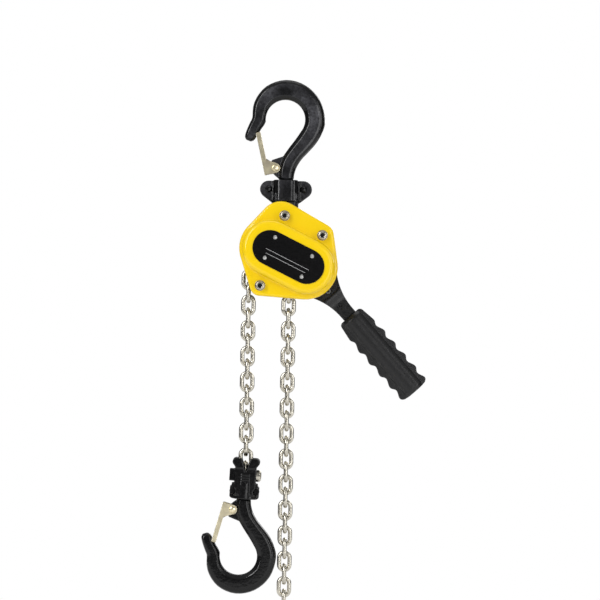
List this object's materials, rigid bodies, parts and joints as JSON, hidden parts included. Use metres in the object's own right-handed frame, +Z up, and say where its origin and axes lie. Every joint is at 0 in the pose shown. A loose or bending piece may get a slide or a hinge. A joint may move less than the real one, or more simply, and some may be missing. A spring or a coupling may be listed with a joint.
{
  "type": "mini lever chain hoist",
  "caption": "Small lever chain hoist: swivel hooks with sprung latches, pocket-wheel body with reduction gears, ratchet brake, swinging lever with rubber grip, load chain and tail ring.",
  "frame": {"origin": "centre of the top hook's bowl, halfway through its thickness", "axes": "+Z up along the hanging hoist, +X to the right seen from the gear cover, +Y from the gear cover towards the handwheel"},
  "size_m": [0.2095, 0.084, 0.5972],
  "materials": {
    "black_enamel": "gloss",
    "yellow_enamel": "gloss",
    "yellow_zinc": "passivated zinc",
    "zinc": "zinc plated",
    "steel": "machined",
    "spring_steel": "drawn",
    "bronze": "sintered",
    "aluminium": "satin",
    "nameplate_black": "satin",
    "friction_lining": "matte",
    "grip_rubber": "matte",
    "dark_grey_enamel": "matte"
  },
  "bodies": {
    "top_hook": {"top_hook": "black_enamel", "top_latch_rivet": "yellow_zinc", "top_latch_spring": "spring_steel"},
    "top_latch": {"top_latch": "yellow_zinc"},
    "hoist": {"top_yoke_front": "black_enamel", "top_yoke_back": "black_enamel", "top_yoke_rivets": "black_enamel", "side_plate_front": "zinc", "side_plate_back": "zinc", "stay_spacers": "steel", "stay_nuts": "zinc", "gear_cover": "yellow_enamel", "cover_screws": "zinc", "cover_washers": "zinc", "nameplate": "nameplate_black", "nameplate_rivets": "aluminium", "sheave_bush_front": "bronze", "sheave_bush_back": "bronze", "shaft_bush_front": "bronze", "shaft_bush_back": "bronze", "chain_guide": "zinc", "pawl_pins": "steel", "pawl_springs": "spring_steel", "brake_cover": "yellow_enamel", "brake_cover_screws": "zinc"},
    "sheave": {"load_sheave": "steel", "load_gear": "steel", "sheave_ring": "spring_steel", "sheave_chain": "zinc"},
    "drive": {"pinion_shaft": "steel", "friction_hub": "steel", "friction_disc_front": "friction_lining", "friction_disc_back": "friction_lining", "shaft_nut": "zinc"},
    "handwheel": {"change_gear": "steel", "handwheel": "black_enamel"},
    "ratchet": {"ratchet_wheel": "steel"},
    "pawl_upper": {"pawl_upper": "steel"},
    "pawl_lower": {"pawl_lower": "steel"},
    "lever": {"lever_arm": "black_enamel", "lever_back_plate": "black_enamel", "lever_screws": "black_enamel", "lever_grip": "grip_rubber"},
    "change_pawl": {"change_pawl": "steel"},
    "selector": {"selector": "black_enamel"},
    "load_fall": {"load_chain": "zinc"},
    "slack_fall": {"slack_chain": "zinc"},
    "bottom_block": {"bottom_yoke_front": "black_enamel", "bottom_yoke_back": "black_enamel", "bottom_yoke_bolts": "black_enamel", "chain_pin": "zinc", "chain_pin_nut": "zinc"},
    "bottom_hook": {"bottom_hook": "black_enamel", "bottom_latch_rivet": "yellow_zinc", "bottom_latch_spring": "spring_steel"},
    "bottom_latch": {"bottom_latch": "yellow_zinc"},
    "tail_ring": {"tail_ring": "dark_grey_enamel", "tail_pin": "zinc"}
  },
  "joints": [
    {"name": "top_latch_turn", "type": "hinge", "parent": "top_hook", "child": "top_latch", "pos_m": [-0.009, 0, -0.0459], "axis": [0, 1, 0], "range_deg": [0, 45], "stiffness_Nm_per_rad": 0.03, "springref_deg": -20.05, "deforming": ["top_latch_spring"]},
    {"name": "top_swivel", "type": "hinge", "parent": "top_hook", "child": "hoist", "pos_m": [0.0016, 0, -0.06], "axis": [0, 0, 1], "continuous": true},
    {"name": "sheave_turn", "type": "hinge", "parent": "hoist", "child": "sheave", "pos_m": [-0.013, 0, -0.121], "axis": [0, 1, 0], "range_deg": [-14.25, 14.25]},
    {"name": "drive_turn", "type": "hinge", "parent": "hoist", "child": "drive", "pos_m": [0.02235, 0, -0.13748], "axis": [0, 1, 0], "range_deg": [-18.5, 18.5]},
    {"name": "load_fall_slide", "type": "slide", "parent": "hoist", "child": "load_fall", "axis": [0, 0, 1], "range_m": [-0.005, 0.005]},
    {"name": "slack_fall_slide", "type": "slide", "parent": "hoist", "child": "slack_fall", "axis": [0, 0, 1], "range_m": [-0.005, 0.005]},
    {"name": "brake_release", "type": "hinge", "parent": "drive", "child": "handwheel", "pos_m": [0.02235, 0, -0.13748], "axis": [0, 1, 0], "range_deg": [0, 18]},
    {"name": "ratchet_turn", "type": "hinge", "parent": "hoist", "child": "ratchet", "pos_m": [0.02235, 0, -0.13748], "axis": [0, 1, 0], "range_deg": [-3, 0]},
    {"name": "pawl_upper_turn", "type": "hinge", "parent": "hoist", "child": "pawl_upper", "pos_m": [0.02851, 0, -0.11449], "axis": [0, 1, 0], "range_deg": [0, 14], "stiffness_Nm_per_rad": 0.01, "springref_deg": -17.19, "deforming": ["pawl_springs"]},
    {"name": "pawl_lower_turn", "type": "hinge", "parent": "hoist", "child": "pawl_lower", "pos_m": [0.01619, 0, -0.16047], "axis": [0, 1, 0], "range_deg": [0, 14], "stiffness_Nm_per_rad": 0.01, "springref_deg": -17.19},
    {"name": "lever_turn", "type": "hinge", "parent": "hoist", "child": "lever", "pos_m": [0.02235, 0, -0.13748], "axis": [0, 1, 0], "continuous": true},
    {"name": "selector_turn", "type": "hinge", "parent": "lever", "child": "selector", "pos_m": [0.04309, 0, -0.16052], "axis": [0, 1, 0], "range_deg": [-25, 25]},
    {"name": "change_pawl_turn", "type": "hinge", "parent": "lever", "child": "change_pawl", "pos_m": [0.04309, 0, -0.16052], "axis": [0, 1, 0], "range_deg": [-9, 9]},
    {"name": "block_rock", "type": "hinge", "parent": "load_fall", "child": "bottom_block", "pos_m": [-0.0319, 0, -0.33487], "axis": [0.9986, 0, -0.0523], "range_deg": [-8, 8]},
    {"name": "bottom_swivel", "type": "hinge", "parent": "bottom_block", "child": "bottom_hook", "pos_m": [-0.03295, 0, -0.35484], "axis": [0.0523, 0, 0.9986], "range_deg": [-125, 125]},
    {"name": "bottom_latch_turn", "type": "hinge", "parent": "bottom_hook", "child": "bottom_latch", "pos_m": [-0.04367, 0, -0.36709], "axis": [0, -1, 0], "range_deg": [0, 45], "stiffness_Nm_per_rad": 0.03, "springref_deg": -20.05, "deforming": ["bottom_latch_spring"]},
    {"name": "tail_swing", "type": "hinge", "parent": "slack_fall", "child": "tail_ring", "pos_m": [0.0059, 0, -0.51517], "axis": [0, 1, 0], "range_deg": [-20, 20]}
  ],
  "couplings": [
    {"joint": "drive_turn", "follows": "sheave_turn", "ratio": -1.2609},
    {"joint": "load_fall_slide", "follows": "sheave_turn", "m_per_rad": 0.019217},
    {"joint": "slack_fall_slide", "follows": "sheave_turn", "m_per_rad": -0.019217},
    {"joint": "change_pawl_turn", "follows": "selector_turn", "ratio": 0.36}
  ]
}
